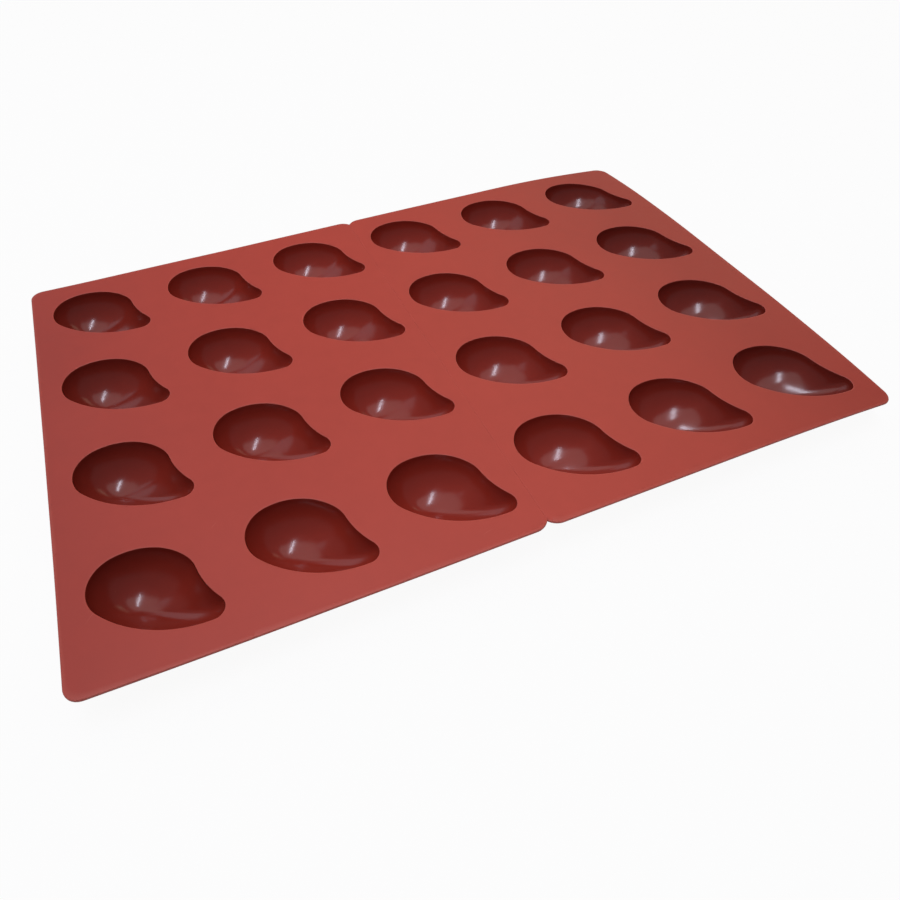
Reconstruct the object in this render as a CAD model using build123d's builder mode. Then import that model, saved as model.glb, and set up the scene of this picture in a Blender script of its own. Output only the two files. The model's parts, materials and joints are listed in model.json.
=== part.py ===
from build123d import *
import os
from math import acos, atan2, cos, degrees, hypot, sin, sqrt

# A flexible silicone baking mould: two half mouldings bonded along the middle
# into one tray-sized sheet, with pockets shaped like half a mango hanging below.
# Millimetres. X runs along the six columns, Y away from the user, Z up.
# The pockets' feet stand on Z = 0 and the sheet's top face is the highest level.

# Sheet
sheet_length = 600.0
sheet_width = 400.0
sheet_thickness = 2.0
corner_radius = 10.0
edge_round = 0.6

# V notch left at both ends of the bonded line by the rounded corners of the halves
notch_depth = 5.0
notch_half_width = 10.0

# Strip along the bonded line that bends when the mould is folded
web_half_width = 3.0

# Pocket field: flat margins between the outermost pockets and the sheet's edges
columns = 6
rows = 4
side_margin = 16.65
far_margin = 18.3
near_margin = 20.4

# Pocket outline: three corner rounds joined by three tangent side arcs
bulb_centre = (-12.6, 5.6)
bulb_radius = 23.2
tail_centre = (32.6, -30.3)
tail_radius = 8.3
shoulder_centre = (5.4, -2.7)
shoulder_radius = 24.3
back_radius = 77.6
waist_radius = 60.8
crown_radius = 41.0

# Pocket bowl
deepest_point = (-10.5, 2.5)
pocket_depth = 28.0
wall = 2.0
floor_length = 14.0
foot_length = 18.0
land_width = 4.0
bowl_bands = 5

os.makedirs("parts", exist_ok=True)

# Levels
top_level = pocket_depth + wall
underside_level = top_level - sheet_thickness

corner_rounds = [(bulb_centre, bulb_radius), (tail_centre, tail_radius), (shoulder_centre, shoulder_radius)]
# A negative side radius is a waist, which curves into the pocket
side_radii = [back_radius, -waist_radius, crown_radius]


def side_arc(first, second, radius):
    """Centre of the arc tangent to two corner rounds, and its two touching points."""
    (x1, y1), r1 = first
    (x2, y2), r2 = second
    reach1, reach2 = abs(radius - r1), abs(radius - r2)
    span = hypot(x2 - x1, y2 - y1)
    along = (reach1**2 - reach2**2 + span**2) / (2 * span)
    across = sqrt(reach1**2 - along**2) * (1 if radius > 0 else -1)
    ux, uy = (x2 - x1) / span, (y2 - y1) / span
    centre = (x1 + along * ux - across * uy, y1 + along * uy + across * ux)
    touches = []
    for (x, y), r in (first, second):
        away = atan2(y - centre[1], x - centre[0])
        if radius < 0:
            away = atan2(centre[1] - y, centre[0] - x)
        touches.append((x + r * cos(away), y + r * sin(away)))
    return centre, touches[0], touches[1]


def arc_from_to(centre, start, end, outward):
    """Arc about a centre, counterclockwise where the outline curves outward."""
    first = degrees(atan2(start[1] - centre[1], start[0] - centre[0]))
    last = degrees(atan2(end[1] - centre[1], end[0] - centre[0]))
    turn = (last - first) % 360 if outward else -((first - last) % 360)
    CenterArc(centre, hypot(start[0] - centre[0], start[1] - centre[1]), first, turn)


def pocket_outline(grow=0.0, scale=1.0):
    """Face of the pocket's outline, grown all round, then shrunk towards the deepest point."""
    deep_x, deep_y = deepest_point
    rounds = []
    for (x, y), r in corner_rounds:
        centre = (deep_x + (x - deep_x) * scale, deep_y + (y - deep_y) * scale)
        rounds.append((centre, (r + grow) * scale))
    count = len(rounds)
    sides = []
    for i, radius in enumerate(side_radii):
        sides.append(side_arc(rounds[i], rounds[(i + 1) % count], (radius + grow) * scale))
    with BuildLine() as border:
        for i, radius in enumerate(side_radii):
            arc_from_to(rounds[i][0], sides[i - 1][2], sides[i][1], True)
            arc_from_to(*sides[i], radius > 0)
    make_face(border.edges())


def bowl(rim_level, depth, flat_length, grow, mode):
    """Half-ellipsoid bowl under a rim, in straight-sided bands down to a small flat."""
    last_turn = acos(flat_length / (pocket_length + 2 * grow))
    sections = []
    for i in range(bowl_bands + 1):
        turn = last_turn * i / bowl_bands
        level = rim_level - depth * sin(turn) / sin(last_turn)
        with BuildSketch(Plane.XY.offset(level)) as section:
            pocket_outline(grow, cos(turn))
        sections.append(section.sketch)
    loft(sections, ruled=True, mode=mode)


# Places of the pockets, from the outline's own extent and the margins
with BuildSketch() as outline:
    pocket_outline()
outline_box = outline.sketch.bounding_box()
pocket_length = outline_box.size.X
pocket_width = outline_box.size.Y
pitch_x = (sheet_length - 2 * side_margin - pocket_length) / (columns - 1)
pitch_y = (sheet_width - far_margin - near_margin - pocket_width) / (rows - 1)
first_x = -sheet_length / 2 + side_margin - outline_box.min.X
first_y = sheet_width / 2 - far_margin - outline_box.max.Y

# One pocket: the bowl and the ring of flat land round its rim
with BuildPart() as pocket:
    with BuildSketch(Plane.XY.offset(top_level)):
        pocket_outline(land_width)
    extrude(amount=-sheet_thickness)
    bowl(underside_level, underside_level, foot_length, wall, Mode.ADD)
    bowl(top_level, pocket_depth, floor_length, 0.0, Mode.SUBTRACT)

# Sheet outline: the two bonded halves with their outer corners and the two end notches
half_length = sheet_length / 2
half_width = sheet_width / 2
notch_tip = (0, half_width - notch_depth)
with BuildSketch() as notch:
    with BuildLine():
        right_arc = TangentArc((notch_half_width, half_width), notch_tip, tangent=(-1, 0))
        left_arc = TangentArc((-notch_half_width, half_width), notch_tip, tangent=(1, 0))
        Line(right_arc @ 0, left_arc @ 0)
    make_face()
with BuildSketch() as sheet_outline:
    RectangleRounded(sheet_length, sheet_width, corner_radius)
    add(notch.sketch, mode=Mode.SUBTRACT)
    mirror(notch.sketch, about=Plane.XZ, mode=Mode.SUBTRACT)
with BuildSketch() as pocket_cutout:
    pocket_outline(land_width)


def sheet_between(low_x, high_x):
    """Outline of the part of the sheet between two X planes."""
    with BuildSketch() as region:
        add(sheet_outline.sketch)
        with Locations(((low_x + high_x) / 2, 0)):
            Rectangle(high_x - low_x, sheet_width, mode=Mode.INTERSECT)
    return region.sketch


def half_sheet(low_x, high_x, first_column, last_column):
    """Flat land of one half moulding, open where its pockets hang."""
    places = []
    for column in range(first_column, last_column + 1):
        for row in range(rows):
            places.append((first_x + column * pitch_x, first_y - row * pitch_y))
    with BuildPart() as flat:
        with BuildSketch(Plane.XY.offset(underside_level)):
            add(sheet_between(low_x, high_x))
        extrude(amount=sheet_thickness)
        top_edges = flat.faces().sort_by(Axis.Z)[-1].edges()
        fillet(top_edges.filter_by(lambda edge: abs(edge.center().X) > past_web), edge_round)
        with BuildSketch(Plane.XY.offset(underside_level)):
            with Locations(*places):
                add(pocket_cutout.sketch)
        extrude(amount=sheet_thickness, mode=Mode.SUBTRACT)
    return flat


# The halves' free edges are rounded, the cut edges beside the bending strip are not
past_web = web_half_width * 1.001
left_sheet = half_sheet(-half_length, -web_half_width, 0, columns // 2 - 1)
left_sheet.part.label = "left_sheet"
export_step(left_sheet.part, "parts/left_sheet.step")

right_sheet = half_sheet(web_half_width, half_length, columns // 2, columns - 1)
right_sheet.part.label = "right_sheet"
export_step(right_sheet.part, "parts/right_sheet.step")

# Bonded strip between the halves, which bends when the mould is folded
with BuildPart() as seam_web:
    with BuildSketch(Plane.XY.offset(underside_level)):
        add(sheet_between(-web_half_width, web_half_width))
    extrude(amount=sheet_thickness)
seam_web.part.label = "seam_web"
export_step(seam_web.part, "parts/seam_web.step")

# The same pocket at every place of the field, row 1 at the far side, column 1 at the left
for row in range(rows):
    for column in range(columns):
        name = f"pocket_r{row + 1}_c{column + 1}"
        with BuildPart() as placed:
            with Locations((first_x + column * pitch_x, first_y - row * pitch_y)):
                add(pocket.part)
        placed.part.label = name
        export_step(placed.part, f"parts/{name}.step")
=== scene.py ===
"""A tray-sized silicone baking mould with 24 cavities shaped like half a mango.

Two half mouldings are bonded along the middle and fold on that line. Every piece is
built from named sizes, in metres, where the frame's own boxes put it. The satin land
and the polished cavities have a finish of their own, at real scale.
"""

import json
from math import cos, radians, sin

import bmesh
import bpy
import numpy as np
from mathutils import Matrix, Vector


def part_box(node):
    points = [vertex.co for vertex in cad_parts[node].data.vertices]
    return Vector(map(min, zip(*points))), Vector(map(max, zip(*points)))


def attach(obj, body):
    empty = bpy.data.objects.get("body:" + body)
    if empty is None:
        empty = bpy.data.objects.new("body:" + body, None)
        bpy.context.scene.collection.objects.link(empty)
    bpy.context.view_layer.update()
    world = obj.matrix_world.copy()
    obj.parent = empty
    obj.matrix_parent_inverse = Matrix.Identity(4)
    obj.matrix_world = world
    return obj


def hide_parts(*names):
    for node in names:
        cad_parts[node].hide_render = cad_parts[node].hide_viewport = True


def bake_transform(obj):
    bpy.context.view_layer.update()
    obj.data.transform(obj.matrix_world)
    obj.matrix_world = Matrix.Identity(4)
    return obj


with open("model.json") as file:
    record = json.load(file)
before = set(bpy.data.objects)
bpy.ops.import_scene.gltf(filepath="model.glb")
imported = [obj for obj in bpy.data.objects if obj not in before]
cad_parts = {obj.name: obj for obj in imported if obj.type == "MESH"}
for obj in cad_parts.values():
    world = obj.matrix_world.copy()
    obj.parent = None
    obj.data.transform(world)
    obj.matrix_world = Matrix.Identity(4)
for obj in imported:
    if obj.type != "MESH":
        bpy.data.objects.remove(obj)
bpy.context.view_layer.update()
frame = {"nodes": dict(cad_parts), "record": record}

bl_info = {
    "name": "Half-mango baking mould",
    "version": (1, 0, 0),
    "blender": (4, 5, 0),
    "location": "3D View > Sidebar > Mould",
    "description": "Builds a flexible silicone baking mould, its finishes and a soft studio stage",
    "category": "Add Mesh",
}

POCKETS = [name for name in frame["nodes"] if name.startswith("pocket_")]
ROWS = len({name.split("_")[1] for name in POCKETS})
COLUMNS = len({name.split("_")[2] for name in POCKETS})
# The halves are bonded between this column and the one before it
FIRST_RIGHT = COLUMNS // 2
BODY_OF = {
    node: body
    for body, nodes in frame["record"]["behaviour"]["bodies"].items()
    for node in nodes
}

# The rim's three corner rounds, each a centre and a radius, in the pocket's own place
BULB = ((-0.0126, 0.0056), 0.0232)
TAIL = ((0.0326, -0.0303), 0.0083)
SHOULDER = ((0.0054, -0.0027), 0.0243)
# The sides between them, where a negative radius is the waist that curves inwards
SIDES = (0.0776, -0.0608, 0.0410)
DEEPEST = np.array((-0.0105, 0.0025))

# Points closer than this are the same point
SAME_POINT = 1e-6


class MouldSizes(bpy.types.PropertyGroup):
    """Sizes of the moulding that the frame's boxes don't give"""

    land_width: bpy.props.FloatProperty(
        name="Pocket land", description="Flat ring round a cavity that belongs to its pocket",
        default=0.004, min=0.001, subtype="DISTANCE", unit="LENGTH")
    rim_round: bpy.props.FloatProperty(
        name="Rim round", description="Radius between a cavity's wall and the top face",
        default=0.0006, min=0.0001, subtype="DISTANCE", unit="LENGTH")
    root_round: bpy.props.FloatProperty(
        name="Root round", description="Radius between a pocket's outside and the underside",
        default=0.0015, min=0.0001, subtype="DISTANCE", unit="LENGTH")
    wall: bpy.props.FloatProperty(
        name="Wall", description="Thickness of a pocket's wall",
        default=0.002, min=0.0005, subtype="DISTANCE", unit="LENGTH")
    fullness: bpy.props.FloatProperty(
        name="Fullness",
        description="Form of the bowl: 1 is half an ellipsoid, more draws its walls in",
        default=1.11, min=0.8, max=1.5, subtype="FACTOR")
    foot_length: bpy.props.FloatProperty(
        name="Foot length", description="Length of the flat under a pocket",
        default=0.018, min=0.001, subtype="DISTANCE", unit="LENGTH")
    edge_round: bpy.props.FloatProperty(
        name="Edge round", description="Radius along the sheet's top edge",
        default=0.0006, min=0.0001, subtype="DISTANCE", unit="LENGTH")
    lower_round: bpy.props.FloatProperty(
        name="Lower edge round", description="Radius along the sheet's lower edge",
        default=0.00025, min=0.00005, subtype="DISTANCE", unit="LENGTH")
    corner_radius: bpy.props.FloatProperty(
        name="Corner radius", description="Radius of the sheet's four outer corners",
        default=0.010, min=0.001, subtype="DISTANCE", unit="LENGTH")
    notch_radius: bpy.props.FloatProperty(
        name="Inner corner radius", description="Radius of the halves' corners beside the seam",
        default=0.0125, min=0.001, subtype="DISTANCE", unit="LENGTH")
    notch_half_width: bpy.props.FloatProperty(
        name="Notch half width", description="Half the width of the notch at each end of the seam",
        default=0.010, min=0.001, subtype="DISTANCE", unit="LENGTH")
    groove_depth: bpy.props.FloatProperty(
        name="Seam groove depth", description="Depth of the fine line where the halves are bonded",
        default=0.00012, min=0.0, subtype="DISTANCE", unit="LENGTH")
    groove_half_width: bpy.props.FloatProperty(
        name="Seam groove half width", description="Half the width of that line",
        default=0.00035, min=0.00005, subtype="DISTANCE", unit="LENGTH")


class MouldSet(bpy.types.PropertyGroup):
    """How the limp sheet has settled, measured at its top face"""

    far_left: bpy.props.FloatProperty(
        name="Far left", description="Lift of the far left corner",
        default=0.001, subtype="DISTANCE", unit="LENGTH")
    far_right: bpy.props.FloatProperty(
        name="Far right", description="Lift of the far right corner",
        default=-0.007, subtype="DISTANCE", unit="LENGTH")
    near_right: bpy.props.FloatProperty(
        name="Near right", description="Lift of the near right corner",
        default=-0.005, subtype="DISTANCE", unit="LENGTH")
    near_left: bpy.props.FloatProperty(
        name="Near left", description="Lift of the near left corner",
        default=0.003, subtype="DISTANCE", unit="LENGTH")
    reach: bpy.props.FloatProperty(
        name="Reach", description="How far from its corner a lift fades out",
        default=0.150, min=0.01, subtype="DISTANCE", unit="LENGTH")
    ripple: bpy.props.FloatProperty(
        name="Ripple", description="Height of the shallow waves in the land",
        default=0.00013, min=0.0, subtype="DISTANCE", unit="LENGTH")


class MouldFinish(bpy.types.PropertyGroup):
    """Colours and gloss of the silicone"""

    # Painted light: the land is painted lighter along the middle of the mould
    land_colour: bpy.props.FloatVectorProperty(
        name="Land", description="Colour of the satin faces along the middle of the mould",
        default=(0.530, 0.066, 0.041), min=0.0, max=1.0, subtype="COLOR")
    # Painted shade: the land's outer ends are painted darker than its middle
    land_shaded_ends: bpy.props.FloatVectorProperty(
        name="Land, outer ends",
        description="Less faded colour of the satin faces at the outer ends",
        default=(0.385, 0.043, 0.026), min=0.0, max=1.0, subtype="COLOR")
    # Partly painted shade: the cavities are the same silicone as the land painted darker, partly
    # for their polish and partly for the shade in the recesses
    cavity_shaded_colour: bpy.props.FloatVectorProperty(
        name="Cavity", description="Colour of the polished cavities along the middle of the mould",
        default=(0.305, 0.028, 0.016), min=0.0, max=1.0, subtype="COLOR")
    # Painted shade: the cavities' outer ends are painted darker than their middle
    cavity_shaded_ends: bpy.props.FloatVectorProperty(
        name="Cavity, outer ends",
        description="Less faded colour of the cavities at the outer ends",
        default=(0.179, 0.018, 0.011), min=0.0, max=1.0, subtype="COLOR")
    # Paler colour for real wear, dust and scratches, and also a painted highlight along the
    # sheet's rounded top edge
    wear_and_highlight_colour: bpy.props.FloatVectorProperty(
        name="Rubbed edge", description="Paler colour along handled edges and scratches",
        default=(0.68, 0.20, 0.15), min=0.0, max=1.0, subtype="COLOR")
    land_roughness: bpy.props.FloatProperty(
        name="Land roughness", description="Roughness of the satin faces",
        default=0.52, min=0.0, max=1.0, subtype="FACTOR")
    cavity_roughness: bpy.props.FloatProperty(
        name="Cavity roughness", description="Roughness of the polished cavities",
        default=0.19, min=0.0, max=1.0, subtype="FACTOR")


class StageSettings(bpy.types.PropertyGroup):
    """Lamps and floor"""

    ceiling_power: bpy.props.FloatProperty(
        name="Ceiling tube", description="Power of the long narrow lamp over the mould",
        default=24.0, min=0.0, unit="POWER")
    panel_power: bpy.props.FloatProperty(
        name="Ceiling panel", description="Power of the large soft panel overhead",
        default=33.0, min=0.0, unit="POWER")
    cool_power: bpy.props.FloatProperty(
        name="Cool panel", description="Power of the soft panel behind the mould on the left",
        default=8.5, min=0.0, unit="POWER")
    warm_power: bpy.props.FloatProperty(
        name="Warm panel", description="Power of the soft panel behind the mould on the right",
        default=13.0, min=0.0, unit="POWER")
    surround: bpy.props.FloatProperty(
        name="Surround", description="Strength of the even light from all round",
        default=0.11, min=0.0)
    reflected_white: bpy.props.FloatProperty(
        name="White in reflections",
        description="Share of the white background that reflections show",
        default=0.13, min=0.0, max=1.0, subtype="FACTOR")
    floor_colour: bpy.props.FloatVectorProperty(
        name="Floor", description="Colour of the floor",
        default=(0.80, 0.80, 0.80), min=0.0, max=1.0, subtype="COLOR")


# Finishes

WHITE = (1.0, 1.0, 1.0)
SILICONE_IOR = 1.43
# Painted light: the silicone is painted lighter most at this x, and no more this far from it
PAINTED_LIGHT_MIDDLE, PAINTED_LIGHT_REACH = -0.02, 0.28
# Scratches on the top face: middle, angle in degrees, length and width
SCRATCHES = (
    ((-0.2800, -0.1330), 52.0, 0.016, 0.0005),
    ((-0.2795, -0.1480), 48.0, 0.020, 0.0004),
    ((-0.2010, -0.1130), 38.0, 0.007, 0.0004),
    ((-0.0400, -0.1880), 12.0, 0.009, 0.0004),
    ((0.1540, 0.0240), -30.0, 0.010, 0.0004),
    ((0.2760, -0.0900), 75.0, 0.008, 0.0004),
    ((-0.1050, 0.1830), 5.0, 0.010, 0.0004),
)


class Signal:
    """A number that varies over a surface. Sums with it add their Math nodes."""

    def __init__(self, maker, socket):
        self.maker = maker
        self.socket = socket

    def maths(self, operation, *values):
        """The result of one Math node on these values."""
        inputs = dict(enumerate(values))
        return self.maker.node("ShaderNodeMath", {"operation": operation}, inputs)

    def __add__(self, other):
        return self.maths("ADD", self, other)

    def __sub__(self, other):
        return self.maths("SUBTRACT", self, other)

    def __rsub__(self, other):
        return self.maths("SUBTRACT", other, self)

    def __mul__(self, other):
        return self.maths("MULTIPLY", self, other)

    def __truediv__(self, other):
        return self.maths("DIVIDE", self, other)

    def __rtruediv__(self, other):
        return self.maths("DIVIDE", other, self)

    def __gt__(self, other):
        return self.maths("GREATER_THAN", self, other)

    def __lt__(self, other):
        return self.maths("LESS_THAN", self, other)

    def __abs__(self):
        return self.maths("ABSOLUTE", self)

    __radd__ = __add__
    __rmul__ = __mul__

    def limited(self):
        """The same number, kept from 0 to 1."""
        return self.maker.node("ShaderNodeClamp", {}, {"Value": self})


class NodeMaker:
    """Adds nodes to one tree."""

    def __init__(self, tree):
        self.tree = tree

    def node(self, kind, options, values, output=0):
        """Adds a node, makes its settings, then its values and links, and gives one output."""
        made = self.tree.nodes.new(kind)
        for option, value in options.items():
            setattr(made, option, value)
        for name, value in values.items():
            self.feed(made.inputs[name], value)
        return Signal(self, made.outputs[output])

    def feed(self, socket, value):
        """Links a signal to a socket, or sets a plain value on it."""
        if isinstance(value, Signal):
            self.tree.links.new(value.socket, socket)
        elif socket.type == "RGBA":
            socket.default_value = (*value, 1.0)
        else:
            socket.default_value = value

    def seen(self, reflected):
        """1 for what the camera sees, and that share for reflections and what shows through."""
        straight = self.node("ShaderNodeLightPath", {}, {}, "Is Camera Ray")
        glossy = self.node("ShaderNodeLightPath", {}, {}, "Is Glossy Ray")
        through = self.node("ShaderNodeLightPath", {}, {}, "Is Transmission Ray")
        return (straight + (glossy + through) * reflected).limited()


class Finish(NodeMaker):
    """One material, whose nodes read the mould's own place in metres."""

    def __init__(self, name):
        self.material = bpy.data.materials.new(name)
        self.material.use_nodes = True
        super().__init__(self.material.node_tree)
        self.surface = self.tree.nodes["Principled BSDF"]
        self.place = self.node("ShaderNodeTexCoord", {}, {}, "Object")

    def clouds(self, size, detail=2.0, roughness=0.5):
        """Soft noise from 0 to 1 with features of about that size."""
        values = {"Vector": self.place, "Scale": 1.0 / size}
        values.update({"Detail": detail, "Roughness": roughness})
        return self.node("ShaderNodeTexNoise", {}, values, "Fac")

    def painted_light_share(self):
        """Share of painted light, most along the middle of the mould and none at its outer ends,
        which keep a painted shade.
        """
        across = self.node("ShaderNodeSeparateXYZ", {}, {0: self.place}, "X")
        off = (across - PAINTED_LIGHT_MIDDLE) / PAINTED_LIGHT_REACH
        return (1.0 - off * off).limited()

    def mix(self, share, first, second):
        """A colour between two, by a share from 0 to 1."""
        values = {0: share, 6: first, 7: second}
        return self.node("ShaderNodeMix", {"data_type": "RGBA"}, values, 2)

    def specks(self, spacing, radius, share):
        """Small round marks, in a share of the cells of a grid of that spacing."""
        values = {"Vector": self.place, "Scale": 1.0 / spacing}
        away = self.node("ShaderNodeTexVoronoi", {}, values, "Distance")
        tint = self.node("ShaderNodeTexVoronoi", {}, values, "Color")
        chance = self.node("ShaderNodeSeparateColor", {}, {0: tint}, "Red")
        return (1.0 - away * (spacing / radius)).limited() * (chance > 1.0 - share)

    def vector_maths(self, operation, first, second, output):
        """One output of a Vector Math node on two vectors."""
        values = {0: first, 1: second}
        return self.node("ShaderNodeVectorMath", {"operation": operation}, values, output)

    def scratch(self, middle, angle, length, width):
        """A fine straight scratch on the top face."""
        along = np.array((np.cos(radians(angle)), np.sin(radians(angle)), 0.0))
        across = np.array((-along[1], along[0], 0.0))
        away = self.vector_maths("SUBTRACT", self.place, (*middle, 0.0), "Vector")
        run = self.vector_maths("DOT_PRODUCT", away, along, "Value")
        side = self.vector_maths("DOT_PRODUCT", away, across, "Value")
        fading = (1.0 - abs(run) / (length / 2)).limited()
        return (1.0 - abs(side) / (width / 2)).limited() * fading

    def finish(self, colour, roughness, height, relief, **constants):
        """Feeds the surface: what varies goes to colour, roughness and bump, the rest is plain."""
        self.feed(self.surface.inputs["Base Color"], colour)
        self.feed(self.surface.inputs["Roughness"], roughness)
        values = {"Strength": 1.0, "Distance": relief, "Height": height}
        bump = self.node("ShaderNodeBump", {}, values)
        self.feed(self.surface.inputs["Normal"], bump)
        for name, value in constants.items():
            self.feed(self.surface.inputs[name.replace("_", " ")], value)
        return self.material


def satin_silicone():
    """Finely matt, faintly cloudy, painted lighter along the middle, paler along edges from wear
    and a painted highlight, with dust and a few scratches.
    """
    finish = bpy.context.scene.mould_finish
    shade = Finish("satin_silicone")
    broad = shade.clouds(size=0.11)
    patchy = shade.clouds(size=0.014, detail=4.0, roughness=0.6)
    grain = shade.clouds(size=0.0005, detail=3.0, roughness=0.6)
    rubbed = shade.node("ShaderNodeAttribute", {"attribute_name": "rubbed"}, {}, "Fac")
    # Painted light and shade: lighter along the middle of the mould, darker towards its outer ends
    tone = shade.painted_light_share() * 0.9 + (broad + patchy - 1.0) * 0.35
    colour = shade.mix(tone.limited(), tuple(finish.land_shaded_ends), tuple(finish.land_colour))
    # Paler where worn, with a painted highlight along the sheet's rounded edges
    worn_and_lit = (rubbed * (0.30 + patchy * 0.35)).limited()
    colour = shade.mix(worn_and_lit, colour, finish.wear_and_highlight_colour)
    dust = shade.specks(spacing=0.009, radius=0.00022, share=0.10)
    scratches = sum(shade.scratch(*scratch) for scratch in SCRATCHES)
    marks = (scratches * 0.45 + dust * 0.35).limited()
    colour = shade.mix(marks, colour, finish.wear_and_highlight_colour)
    smoothest = finish.land_roughness - 0.06
    roughness = (smoothest + patchy * 0.08 + grain * 0.05 + rubbed * 0.05).limited()
    height = grain * 0.5 + patchy * 0.8 + marks * 0.6
    return shade.finish(colour, roughness, height, relief=0.00003, IOR=SILICONE_IOR)


def polished_silicone():
    """Glossy moulded silicone with faint smudges, a little dust and a trace of unevenness, painted
    darker than the land partly for its polish and partly as painted shade in the recess, and
    painted lighter along the middle.
    """
    finish = bpy.context.scene.mould_finish
    shade = Finish("polished_silicone")
    smudges = shade.clouds(size=0.010, detail=3.0, roughness=0.6)
    uneven = shade.clouds(size=0.0045, detail=1.0)
    grain = shade.clouds(size=0.0004)
    # Painted light and shade: lighter along the middle of the mould, darker towards its outer ends
    tone = shade.painted_light_share() * 0.9 + (smudges - 0.5) * 0.25
    colour = shade.mix(tone.limited(), tuple(finish.cavity_shaded_ends), tuple(finish.cavity_shaded_colour))
    dust = shade.specks(spacing=0.010, radius=0.00025, share=0.16)
    colour = shade.mix(dust * 0.35, colour, finish.wear_and_highlight_colour)
    smoothest = finish.cavity_roughness - 0.05
    roughness = (smoothest + smudges * 0.10).limited()
    height = uneven * 0.6 + grain * 0.12 + dust * 0.5
    return shade.finish(colour, roughness, height, relief=0.00002, IOR=SILICONE_IOR)


# Places of the finishes in each piece's material slots
SATIN, POLISHED = 0, 1


def finishes():
    """The two finishes in that order, made once and shared by every piece."""
    makers = {"satin_silicone": satin_silicone, "polished_silicone": polished_silicone}
    return [bpy.data.materials.get(name) or make() for name, make in makers.items()]


# Shapes

RIM_ARC_POINTS = 200
SIDE_STEPS = 40
# How far out from the openings the rings of a tile's land lie, from 0 to 1 at its border
LAND_RINGS = np.array((0.0, 0.12, 0.35, 0.65, 0.9, 1.0))
# Steps of the cavity from its deepest point to the rim, and of the outside down to the foot
BOWL_STEPS, OUTSIDE_STEPS = 20, 17
# Lines along the seam strip, in half its groove and from there to its side
GROOVE_LINES, STRIP_LINES = 5, 11
# Shading breaks where faces meet at more than this
CREASE = radians(38.0)
# How pale the silicone is from wear, and along the sheet's edges also from a painted highlight:
# beside the sheet's top edge, on the edge's round, on its side,
# on the ends of the seam strip, at the top of a cavity's wall and round a foot
EDGE_WORN_AND_LIT, ROUND_WORN_AND_LIT, SIDE_WORN = 0.35, 0.8, 0.3
STRIP_WORN_AND_LIT, WALL_WORN, FOOT_WORN = 0.5, 0.15, 0.5
# A foot is rubbed from this share of the turn towards it
FOOT_WORN_FROM = 0.93


def rim_curve(grow=0.0):
    """Dense points round a cavity's rim, or round a curve that much outside it."""
    rounds = [(np.array(centre), radius + grow) for centre, radius in (BULB, TAIL, SHOULDER)]
    sides = []
    for i, side in enumerate(SIDES):
        (c1, r1), (c2, r2) = joined = rounds[i], rounds[(i + 1) % 3]
        radius = side + grow
        reach1, reach2 = abs(radius - r1), abs(radius - r2)
        gap = c2 - c1
        span = np.hypot(*gap)
        along = (reach1**2 - reach2**2 + span**2) / (2 * span)
        across = np.sqrt(reach1**2 - along**2) * np.sign(radius)
        unit = gap / span
        centre = c1 + along * unit + across * np.array((-unit[1], unit[0]))
        touches = [c + r * (c - centre) / np.hypot(*(c - centre)) * np.sign(radius)
                   for c, r in joined]
        sides.append((centre, *touches, radius > 0))
    points = []
    for i, (centre, _) in enumerate(rounds):
        corner = (centre, sides[i - 1][2], sides[i][1], True)
        for middle, start, end, outward in (corner, sides[i]):
            first = np.arctan2(*(start - middle)[::-1])
            last = np.arctan2(*(end - middle)[::-1])
            turn = (last - first) % (2 * np.pi) if outward else -((first - last) % (2 * np.pi))
            angles = first + turn * np.linspace(0.0, 1.0, RIM_ARC_POINTS, endpoint=False)
            around = np.stack((np.cos(angles), np.sin(angles)), 1)
            points.append(middle + np.hypot(*(start - middle)) * around)
    return np.concatenate(points)


def rim_ring(directions, grow=0.0):
    """Where rays from the deepest point cross the rim, or a curve that much outside it."""
    curve = rim_curve(grow) - DEEPEST
    angles = np.arctan2(curve[:, 1], curve[:, 0])
    order = np.argsort(angles)
    reach = np.interp(directions, angles[order], np.hypot(*curve.T)[order], period=2 * np.pi)
    return DEEPEST + reach[:, None] * np.stack((np.cos(directions), np.sin(directions)), 1)


def side_shares(crowding=0.35):
    """Shares from 0 up to 1 along one side of a tile, closer together towards its corners."""
    even = np.linspace(-1.0, 1.0, SIDE_STEPS + 1)[:-1]
    return (even * (1.0 + crowding - crowding * even**2) + 1) / 2


def tile_border(low_x, high_x, y_span):
    """Points round a tile, counterclockwise from its lower right corner.

    y_span(x) gives the tile's lowest and highest y at x.
    """
    share = side_shares()
    border = []
    low, high = y_span(high_x)
    border.append(np.stack((np.full(SIDE_STEPS, high_x), low + share * (high - low)), 1))
    border.append(np.array([(x, y_span(x)[1]) for x in high_x + share * (low_x - high_x)]))
    low, high = y_span(low_x)
    border.append(np.stack((np.full(SIDE_STEPS, low_x), high + share * (low - high)), 1))
    border.append(np.array([(x, y_span(x)[0]) for x in low_x + share * (high_x - low_x)]))
    return np.concatenate(border)


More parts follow.
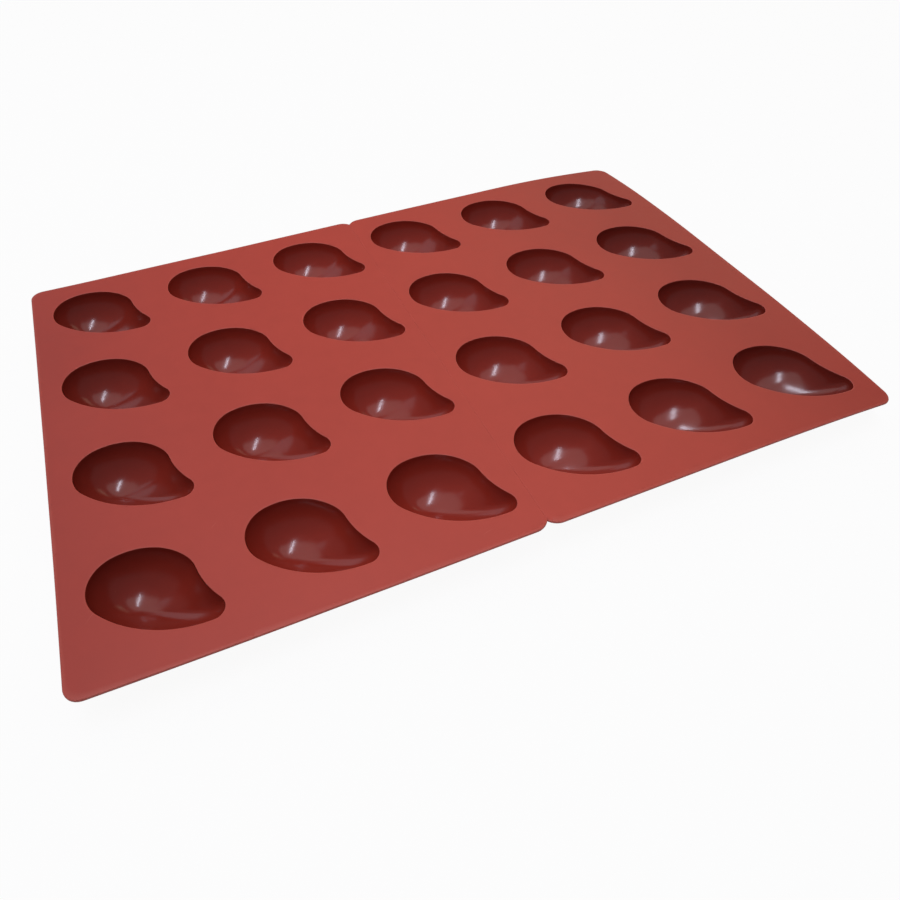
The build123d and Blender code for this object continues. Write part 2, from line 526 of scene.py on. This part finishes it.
class Layout:
    """Where pockets, the tiles round them and the sheet's edges lie, from the frame's boxes."""

    def __init__(self):
        self.sizes = bpy.context.scene.mould_sizes
        self.settled = bpy.context.scene.mould_set
        left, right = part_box("left_sheet"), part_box("right_sheet")
        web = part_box("seam_web")
        self.edge_x, self.edge_y = right[1].x, right[1].y
        self.top, self.under = left[1].z, left[0].z
        self.web_x = web[1].x

        # Places of the pockets, and the tiles' bounds midway between them
        first = [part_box(f"pocket_r1_c{c + 1}") for c in range(COLUMNS)]
        down = [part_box(f"pocket_r{r + 1}_c1") for r in range(ROWS)]
        curve = rim_curve()
        rim_low, rim_high = curve.min(0), curve.max(0)
        land = self.sizes.land_width
        self.places_x = [low.x + land - rim_low[0] for low, high in first]
        self.places_y = [high.y - land - rim_high[1] for low, high in down]
        between = [(high.x + low.x) / 2 for (_, high), (low, _) in zip(first, first[1:])]
        self.bounds_x = [-self.edge_x, *between, self.edge_x]
        between = [(low.y + high.y) / 2 for (low, _), (_, high) in zip(down, down[1:])]
        self.bounds_y = [self.edge_y, *between, -self.edge_y]

        # Directions in which every ring round a pocket has its points
        pitch = (self.places_x[1] - self.places_x[0], self.places_y[0] - self.places_y[1])
        middle = (rim_low + rim_high) / 2
        low, high = middle - np.array(pitch) / 2, middle + np.array(pitch) / 2
        border = tile_border(low[0], high[0], lambda x: (low[1], high[1])) - DEEPEST
        self.directions = np.arctan2(border[:, 1], border[:, 0])

    def notch(self, x):
        """How far the halves' rounded inner corners draw the long edges in at x."""
        over = max(0.0, self.sizes.notch_half_width - abs(x))
        radius = self.sizes.notch_radius
        return radius - np.sqrt(radius**2 - over**2)

    def y_span(self, row):
        """A function that gives a row of tiles its lowest and highest y at x."""
        high, low = self.bounds_y[row], self.bounds_y[row + 1]

        def span(x):
            drawn_in = self.notch(x)
            return (low + drawn_in if row == ROWS - 1 else low,
                    high - drawn_in if row == 0 else high)

        return span

    def x_span(self, column):
        """Lowest and highest x of a column of tiles, which stop at the bonded strip."""
        low, high = self.bounds_x[column], self.bounds_x[column + 1]
        if column == FIRST_RIGHT - 1:
            high = -self.web_x
        if column == FIRST_RIGHT:
            low = self.web_x
        return low, high

    def outward(self, points):
        """Moves border points onto the rounded corners.

        Also gives the way out of the sheet at each, which is zero inside it.
        """
        moved, out = points.copy(), np.zeros_like(points)
        corner, radius = self.sizes.corner_radius, self.sizes.notch_radius
        for i, (x, y) in enumerate(points):
            on_x = abs(abs(x) - self.edge_x) < SAME_POINT
            on_y = abs(abs(y) - self.edge_y + self.notch(x)) < SAME_POINT
            if not (on_x or on_y):
                continue
            from_corner = np.array((abs(x) - self.edge_x + corner, abs(y) - self.edge_y + corner))
            signs = np.array((np.sign(x), np.sign(y)))
            if min(from_corner) > 0:
                unit = from_corner / np.hypot(*from_corner)
                inner = np.array((self.edge_x - corner, self.edge_y - corner))
                moved[i] = signs * (inner + corner * unit)
                out[i] = signs * unit
            elif on_x:
                out[i] = (signs[0], 0.0)
            else:
                over = max(0.0, self.sizes.notch_half_width - abs(x))
                rise = np.sqrt(radius**2 - over**2)
                out[i] = (-signs[0] * over / radius, signs[1] * rise / radius)
                if abs(x) < SAME_POINT:
                    out[i] = (0.0, signs[1] * radius / rise)
        return moved, out

    def ripples(self, x, y):
        """Shallow waves across the land that cross each other and don't visibly repeat."""
        along_x = np.sin(x * 47.0 + 2.1 * np.sin(y * 23.0))
        along_y = np.sin(y * 61.0 + 1.7 * np.sin(x * 31.0 + 1.0))
        return self.settled.ripple * 0.5 * (along_x + along_y)

    def settle(self, points):
        """Lets the top sag or lift at the corners and ripple, while the feet stay down."""
        x, y, z = points.T
        lift = np.zeros(len(points))
        reach = self.settled.reach
        for amount, at_x, at_y in (
            (self.settled.far_left, -self.edge_x, self.edge_y),
            (self.settled.far_right, self.edge_x, self.edge_y),
            (self.settled.near_right, self.edge_x, -self.edge_y),
            (self.settled.near_left, -self.edge_x, -self.edge_y),
        ):
            lift += amount * np.clip(1.0 - np.hypot(x - at_x, y - at_y) / reach, 0.0, None) ** 2
        lift += self.ripples(x, y)
        settled = points.copy()
        settled[:, 2] += lift * z / self.top
        return settled

    def edge_profile(self):
        """(distance in from the edge, level) down the sheet's side, from top face to underside."""
        upper, lower = self.sizes.edge_round, self.sizes.lower_round
        profile = []
        for turn in np.radians((90.0, 60.0, 30.0, 0.0)):
            profile.append((upper * (1 - np.cos(turn)), self.top - upper * (1 - np.sin(turn))))
        for turn in np.radians((0.0, 45.0, 90.0)):
            profile.append((lower * (1 - np.cos(turn)), self.under + lower * (1 - np.sin(turn))))
        return profile


class Moulding:
    """Collects rings of points and the faces between them, then makes one closed piece."""

    def __init__(self, layout):
        self.layout = layout
        self.points, self.faces, self.finishes, self.rubbed = [], [], [], []
        self.latest = None

    def loop(self, points, rubbed):
        """Adds a ring of points, with one share of wear and painted edge highlight or a share
        each, and gives their numbers.
        """
        start = sum(len(part) for part in self.points)
        self.points.append(points)
        self.rubbed.append(np.zeros(len(points)) + rubbed)
        return np.arange(start, start + len(points))

    def ring(self, flat, level, rubbed=0.0):
        """Adds a level ring."""
        return self.loop(np.column_stack((flat, np.full(len(flat), level))), rubbed)

    def face(self, *corners, finish=SATIN):
        """Adds one face between points."""
        self.faces.append([int(corner) for corner in corners])
        self.finishes.append(finish)

    def band(self, first, second, finish=SATIN, keep=None):
        """Joins two rings with faces, all round or only where keep says so."""
        for i in range(len(first)):
            if keep is None or keep[i]:
                j = (i + 1) % len(first)
                self.face(first[i], first[j], second[j], second[i], finish=finish)

    def cap(self, ring, middle, finish=SATIN):
        """Closes a ring with a fan to one point."""
        for i in range(len(ring)):
            self.face(ring[i], ring[(i + 1) % len(ring)], middle[0], finish=finish)

    def skin(self, flat, level, rubbed=0.0, finish=SATIN):
        """Adds a level ring, or a single point, and joins it to the one added before."""
        before, now = self.latest, self.ring(flat, level, rubbed)
        self.latest = now
        if before is None:
            return
        if len(before) == 1:
            self.cap(now, before, finish)
        elif len(now) == 1:
            self.cap(before, now, finish)
        else:
            self.band(before, now, finish)

    def piece(self, name, nodes, body=None):
        """Makes the piece, merges what the tiles share, and puts it in the place of its nodes."""
        points = self.layout.settle(np.concatenate(self.points))
        mesh = bpy.data.meshes.new(name)
        mesh.from_pydata(points.tolist(), [], self.faces)
        for material in finishes():
            mesh.materials.append(material)
        mesh.polygons.foreach_set("material_index", self.finishes)
        # Each point's share of wear and painted edge highlight, which the satin finish reads
        worn_and_lit = mesh.attributes.new("rubbed", "FLOAT", "POINT")
        worn_and_lit.data.foreach_set("value", np.concatenate(self.rubbed).astype(np.float32))
        work = bmesh.new()
        work.from_mesh(mesh)
        bmesh.ops.remove_doubles(work, verts=work.verts, dist=SAME_POINT)
        loose = [vertex for vertex in work.verts if not vertex.link_faces]
        bmesh.ops.delete(work, geom=loose, context="VERTS")
        bmesh.ops.recalc_face_normals(work, faces=work.faces)
        work.to_mesh(mesh)
        work.free()
        mesh.shade_smooth()
        mesh.set_sharp_from_angle(angle=CREASE)
        made = bpy.data.objects.new(name, mesh)
        bpy.context.collection.objects.link(made)
        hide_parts(*nodes)
        if body:
            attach(made, body)
        return made


def half_sheet(layout, name, columns):
    """Flat land of one half moulding, with rounded free edges and an opening for each pocket."""
    work = Moulding(layout)
    profile = layout.edge_profile()
    hole = rim_ring(layout.directions, layout.sizes.land_width)
    for column in columns:
        for row in range(ROWS):
            border, out = layout.outward(tile_border(*layout.x_span(column), layout.y_span(row)))
            opening = hole + (layout.places_x[column], layout.places_y[row])
            free = np.hypot(*out.T) > 0.5

            # Land round the opening, on the top face and on the underside
            face_rings = []
            for inset, level in (profile[0], profile[-1]):
                edge = border - out * inset
                rings = []
                for share in LAND_RINGS:
                    # Along a free edge this ring gets wear and a painted highlight
                    worn_and_lit = EDGE_WORN_AND_LIT * free if share == 1.0 else 0.0
                    rings.append(work.ring(opening + share * (edge - opening), level, worn_and_lit))
                for inner, outer in zip(rings, rings[1:]):
                    work.band(inner, outer)
                face_rings.append(rings)
            top, under = face_rings
            work.band(top[0], under[0])

            # Rounded side, on those of the tile's four sides that end the half
            ends_half = [column in (FIRST_RIGHT - 1, COLUMNS - 1), row == 0,
                         column in (0, FIRST_RIGHT), row == ROWS - 1]
            side = [top[-1]]
            for step, (inset, level) in enumerate(profile[1:-1]):
                # The edge's round and side get wear and a painted highlight
                worn_and_lit = free * (ROUND_WORN_AND_LIT if step < 2 else SIDE_WORN)
                side.append(work.ring(border - out * inset, level, worn_and_lit))
            side.append(under[-1])
            for upper, lower in zip(side, side[1:]):
                work.band(upper, lower, keep=np.repeat(ends_half, SIDE_STEPS))
    return work.piece(name, [name], BODY_OF[name])


def seam_strip(layout):
    """Bonded strip between the halves with its fine groove."""
    work = Moulding(layout)
    profile = layout.edge_profile()
    groove = layout.sizes.groove_half_width
    inner = np.linspace(0.0, groove, GROOVE_LINES)
    outer = np.linspace(groove, layout.web_x, STRIP_LINES)
    half = np.concatenate((inner, outer[1:]))
    share = side_shares()
    rings = []
    for x in np.concatenate((-half[:0:-1], half)):
        spans = [layout.y_span(row)(x) for row in reversed(range(ROWS))]
        low, high = spans[0][0], spans[-1][1]
        lines = [start + share * (end - start) for start, end in spans]
        ys = np.concatenate(lines)[1:]
        (near, far), (near_out, far_out) = layout.outward(np.array(((x, low), (x, high))))
        loop = [(x, y, layout.top) for y in ys]
        loop += [(*(far - far_out * inset), level) for inset, level in profile]
        loop += [(x, y, layout.under) for y in ys[::-1]]
        loop += [(*(near - near_out * inset), level) for inset, level in profile[::-1]]
        loop = np.array(loop)
        sunk = layout.sizes.groove_depth * max(0.0, 1.0 - (x / groove) ** 2)
        loop[loop[:, 2] > layout.top - SAME_POINT, 2] -= sunk
        # The strip's ends at the sheet's edges get wear and a painted highlight
        worn_and_lit = np.repeat((0.0, STRIP_WORN_AND_LIT) * 2, (len(ys), len(profile)) * 2)
        rings.append(work.loop(loop, worn_and_lit))
    for first, second in zip(rings, rings[1:]):
        work.band(first, second)

    # The cut face beside each half, in strips between the top and the underside
    parts = np.cumsum((len(ys), len(profile), len(ys)))
    for ring in (rings[0], rings[-1]):
        top, far, under, near = np.split(ring, parts)
        under = under[::-1]
        for i in range(len(top) - 1):
            work.face(top[i], top[i + 1], under[i + 1], under[i])
        work.face(top[-1], *far, under[-1])
        work.face(under[0], *near, top[0])
    return work.piece("seam_web", ["seam_web"])


def pocket(layout, row, column):
    """One pocket in one closed skin: cavity, rounded rim, ring of land, and the outside."""
    work = Moulding(layout)
    sizes = layout.sizes
    name = f"pocket_r{row + 1}_c{column + 1}"
    place = np.array((layout.places_x[column], layout.places_y[row]))
    deep = DEEPEST + place
    foot_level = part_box(name)[0].z

    def grown(width):
        return rim_ring(layout.directions, width) + place

    # Cavity, from its deepest point up to the rim
    rim = grown(0.0)
    wall_top = layout.top - sizes.rim_round
    cavity_depth = wall_top - (foot_level + sizes.wall)
    work.skin(deep[None, :], wall_top - cavity_depth)
    for turn in np.radians(np.linspace(90.0, 0.0, BOWL_STEPS + 1)[1:]):
        flat = deep + np.cos(turn) ** sizes.fullness * (rim - deep)
        level = wall_top - cavity_depth * np.sin(turn) ** sizes.fullness
        work.skin(flat, level, WALL_WORN if turn == 0 else 0.0, POLISHED)
    # Rounded rim, by turn, rubbing and finish, and the flat ring round it
    for turn, rubbed, finish in ((30.0, 0.25, POLISHED), (60.0, 0.35, SATIN), (90.0, 0.2, SATIN)):
        width = sizes.rim_round * (1 - cos(radians(turn)))
        level = wall_top + sizes.rim_round * sin(radians(turn))
        work.skin(grown(width), level, rubbed, finish)
    for width in (sizes.rim_round * 2, sizes.land_width):
        work.skin(grown(width), layout.top)
    # Side of that ring, the underside and the rounded root of the outside
    for width in (sizes.land_width, sizes.wall + sizes.root_round):
        work.skin(grown(width), layout.under)
    for turn in np.radians((22.5, 45.0, 67.5)):
        width = sizes.wall + sizes.root_round * (1 - np.sin(turn))
        work.skin(grown(width), layout.under - sizes.root_round * (1 - np.cos(turn)))
    # Outside of the bowl down to its flat foot
    outside = grown(sizes.wall)
    foot_share = sizes.foot_length / np.ptp(rim_curve(sizes.wall)[:, 0])
    last_turn = np.arccos(foot_share ** (1 / sizes.fullness))
    root_level = layout.under - sizes.root_round
    for turn in np.linspace(0.0, last_turn, OUTSIDE_STEPS + 1):
        flat = deep + np.cos(turn) ** sizes.fullness * (outside - deep)
        drop = (np.sin(turn) / np.sin(last_turn)) ** sizes.fullness
        level = root_level - (root_level - foot_level) * drop
        work.skin(flat, level, FOOT_WORN if turn > last_turn * FOOT_WORN_FROM else 0.0)
    work.skin(deep[None, :], foot_level)
    return work.piece(name, [name], BODY_OF[name])


class MOULD_OT_half_sheets(bpy.types.Operator):
    """Make the flat land of the two half mouldings"""

    bl_idname = "mould.half_sheets"
    bl_label = "Half sheets"

    def execute(self, context):
        layout = Layout()
        half_sheet(layout, "left_sheet", range(FIRST_RIGHT))
        half_sheet(layout, "right_sheet", range(FIRST_RIGHT, COLUMNS))
        return {"FINISHED"}


class MOULD_OT_seam_strip(bpy.types.Operator):
    """Make the bonded strip between the halves"""

    bl_idname = "mould.seam_strip"
    bl_label = "Seam strip"

    def execute(self, context):
        layout = Layout()
        strip = seam_strip(layout)
        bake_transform(strip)
        return {"FINISHED"}


class MOULD_OT_pockets(bpy.types.Operator):
    """Make the pockets with their polished cavities"""

    bl_idname = "mould.pockets"
    bl_label = "Pockets"

    def execute(self, context):
        layout = Layout()
        for row in range(ROWS):
            for column in range(COLUMNS):
                pocket(layout, row, column)
        return {"FINISHED"}


# Stage

UPRIGHT = (0.0, 0.0, 1.0)
# Soft lamps. A direction is the azimuth from +Y to +X and the elevation, in degrees, and
# "along" is the way in which the second of the two sides in "size" runs.
LAMPS = {
    "ceiling_tube": dict(
        power="ceiling_power", shape="RECTANGLE", direction=(-132.3, 80.0), distance=2.54,
        along=(0.447, 0.894, 0.0), size=(0.17, 1.45), colour=(0.83, 0.85, 1.0)),
    "ceiling_panel": dict(
        power="panel_power", shape="ELLIPSE", direction=(-24.0, 81.2), distance=2.98,
        along=(0.47, 0.88, 0.0), size=(4.4, 2.9), colour=(1.0, 0.92, 0.92)),
    "cool_panel": dict(
        power="cool_power", shape="RECTANGLE", direction=(-38.0, 33.0), distance=3.0,
        along=UPRIGHT, size=(2.2, 1.4), colour=(0.82, 0.88, 1.0)),
    "warm_panel": dict(
        power="warm_power", shape="RECTANGLE", direction=(50.0, 32.0), distance=3.0,
        along=UPRIGHT, size=(2.2, 1.4), colour=(1.0, 0.74, 0.52)),
}
SURROUND_COLOUR = (0.80, 0.88, 1.0)
FLOOR_REACH = 6.0
# Share of plain white in what the camera sees of the floor. The rest keeps the shadow.
FLOOR_WHITE = 0.94

SENSOR_WIDTH = 36.0
LENS = 28.405
LENS_SHIFT = (0.0422, -0.0344)
CAMERA_PLACE = (-0.18111, -0.41116, 0.41178)
CAMERA_TURN = (43.360, 0.716, -22.759)


def soft_lamp(name, energy, shape, direction, distance, along, size, colour):
    """A flat lamp that faces the mould's middle."""
    azimuth, elevation = map(radians, direction)
    flat = cos(elevation)
    back = Vector((sin(azimuth) * flat, cos(azimuth) * flat, sin(elevation)))
    wide = Vector(along).cross(back).normalized()
    lamp = bpy.data.lights.new(name, "AREA")
    lamp.shape = shape
    lamp.size, lamp.size_y = size
    lamp.energy = energy
    lamp.color = colour
    made = bpy.data.objects.new(name, lamp)
    turn = Matrix((wide, back.cross(wide), back)).transposed()
    made.matrix_world = Matrix.Translation(back * distance) @ turn.to_4x4()
    bpy.context.collection.objects.link(made)


def floor(stage):
    """A wide floor that is white to the camera and keeps the mould's shadow."""
    corners = [(x * FLOOR_REACH, y * FLOOR_REACH, 0.0)
               for x, y in ((-1, -1), (1, -1), (1, 1), (-1, 1))]
    mesh = bpy.data.meshes.new("floor")
    mesh.from_pydata(corners, [], [(0, 1, 2, 3)])
    made = bpy.data.objects.new("floor", mesh)
    bpy.context.collection.objects.link(made)
    shade = Finish("floor_paper")
    fibre = shade.clouds(size=0.002, detail=3.0)
    colour = tuple(stage.floor_colour)
    tone = shade.mix(fibre * 0.3, colour, tuple(part * 0.97 for part in colour))
    shade.finish(tone, roughness=0.9, height=fibre, relief=0.00005)
    paper = Signal(shade, shade.surface.outputs[0])
    glow = shade.node("ShaderNodeEmission", {}, {"Color": WHITE, "Strength": 1.0})
    values = {0: shade.seen(1.0) * FLOOR_WHITE, 1: paper, 2: glow}
    both = shade.node("ShaderNodeMixShader", {}, values)
    shade.feed(shade.tree.nodes["Material Output"].inputs["Surface"], both)
    mesh.materials.append(shade.material)


def surround(stage):
    """Even light from all round, white to the camera and partly white in reflections."""
    world = bpy.context.scene.world or bpy.data.worlds.new("surround")
    bpy.context.scene.world = world
    world.use_nodes = True
    shade = NodeMaker(world.node_tree)
    plain = shade.node(
        "ShaderNodeBackground", {}, {"Color": SURROUND_COLOUR, "Strength": stage.surround})
    white = shade.node("ShaderNodeBackground", {}, {"Color": WHITE, "Strength": 1.0})
    values = {0: shade.seen(stage.reflected_white), 1: plain, 2: white}
    both = shade.node("ShaderNodeMixShader", {}, values)
    shade.feed(shade.tree.nodes["World Output"].inputs["Surface"], both)


def camera():
    """The photograph's view."""
    lens = bpy.data.cameras.new("camera")
    lens.sensor_width = SENSOR_WIDTH
    lens.lens = LENS
    lens.shift_x, lens.shift_y = LENS_SHIFT
    made = bpy.data.objects.new("camera", lens)
    made.location = CAMERA_PLACE
    made.rotation_euler = [radians(turn) for turn in CAMERA_TURN]
    bpy.context.collection.objects.link(made)
    bpy.context.scene.camera = made


class MOULD_OT_stage(bpy.types.Operator):
    """Make the pale floor, the lamps, the surround and the camera"""

    bl_idname = "mould.stage"
    bl_label = "Floor, light and camera"

    def execute(self, context):
        stage = context.scene.mould_stage
        floor(stage)
        surround(stage)
        for name, lamp in LAMPS.items():
            lamp = dict(lamp)
            soft_lamp(name, getattr(stage, lamp.pop("power")), **lamp)
        camera()
        context.scene.view_settings.view_transform = "Standard"
        return {"FINISHED"}


class MOULD_PT_sidebar(bpy.types.Panel):
    """Sizes, finishes and steps of the mould"""

    bl_idname = "MOULD_PT_sidebar"
    bl_label = "Baking mould"
    bl_space_type = "VIEW_3D"
    bl_region_type = "UI"
    bl_category = "Mould"

    def draw(self, context):
        for name, (title, kind) in GROUPS.items():
            box = self.layout.box()
            box.label(text=title)
            for value in kind.__annotations__:
                box.prop(getattr(context.scene, name), value)
        for step in OPERATORS:
            self.layout.operator(step.bl_idname)


GROUPS = {
    "mould_sizes": ("Sizes", MouldSizes),
    "mould_set": ("Set of the sheet", MouldSet),
    "mould_finish": ("Finish", MouldFinish),
    "mould_stage": ("Stage", StageSettings),
}
OPERATORS = (MOULD_OT_stage, MOULD_OT_half_sheets, MOULD_OT_seam_strip, MOULD_OT_pockets)
CLASSES = (*(kind for _, kind in GROUPS.values()), *OPERATORS, MOULD_PT_sidebar)


def register():
    """Adds the classes, and the four groups of values to every scene."""
    for kind in CLASSES:
        bpy.utils.register_class(kind)
    for name, (_, kind) in GROUPS.items():
        setattr(bpy.types.Scene, name, bpy.props.PointerProperty(type=kind))


def unregister():
    """Takes them away again."""
    for name in GROUPS:
        delattr(bpy.types.Scene, name)
    for kind in reversed(CLASSES):
        bpy.utils.unregister_class(kind)


def main():
    """Registers the add-on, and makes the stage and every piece."""
    register()
    bpy.ops.mould.stage()
    bpy.ops.mould.half_sheets()
    bpy.ops.mould.seam_strip()
    bpy.ops.mould.pockets()


if __name__ == "__main__":
    main()
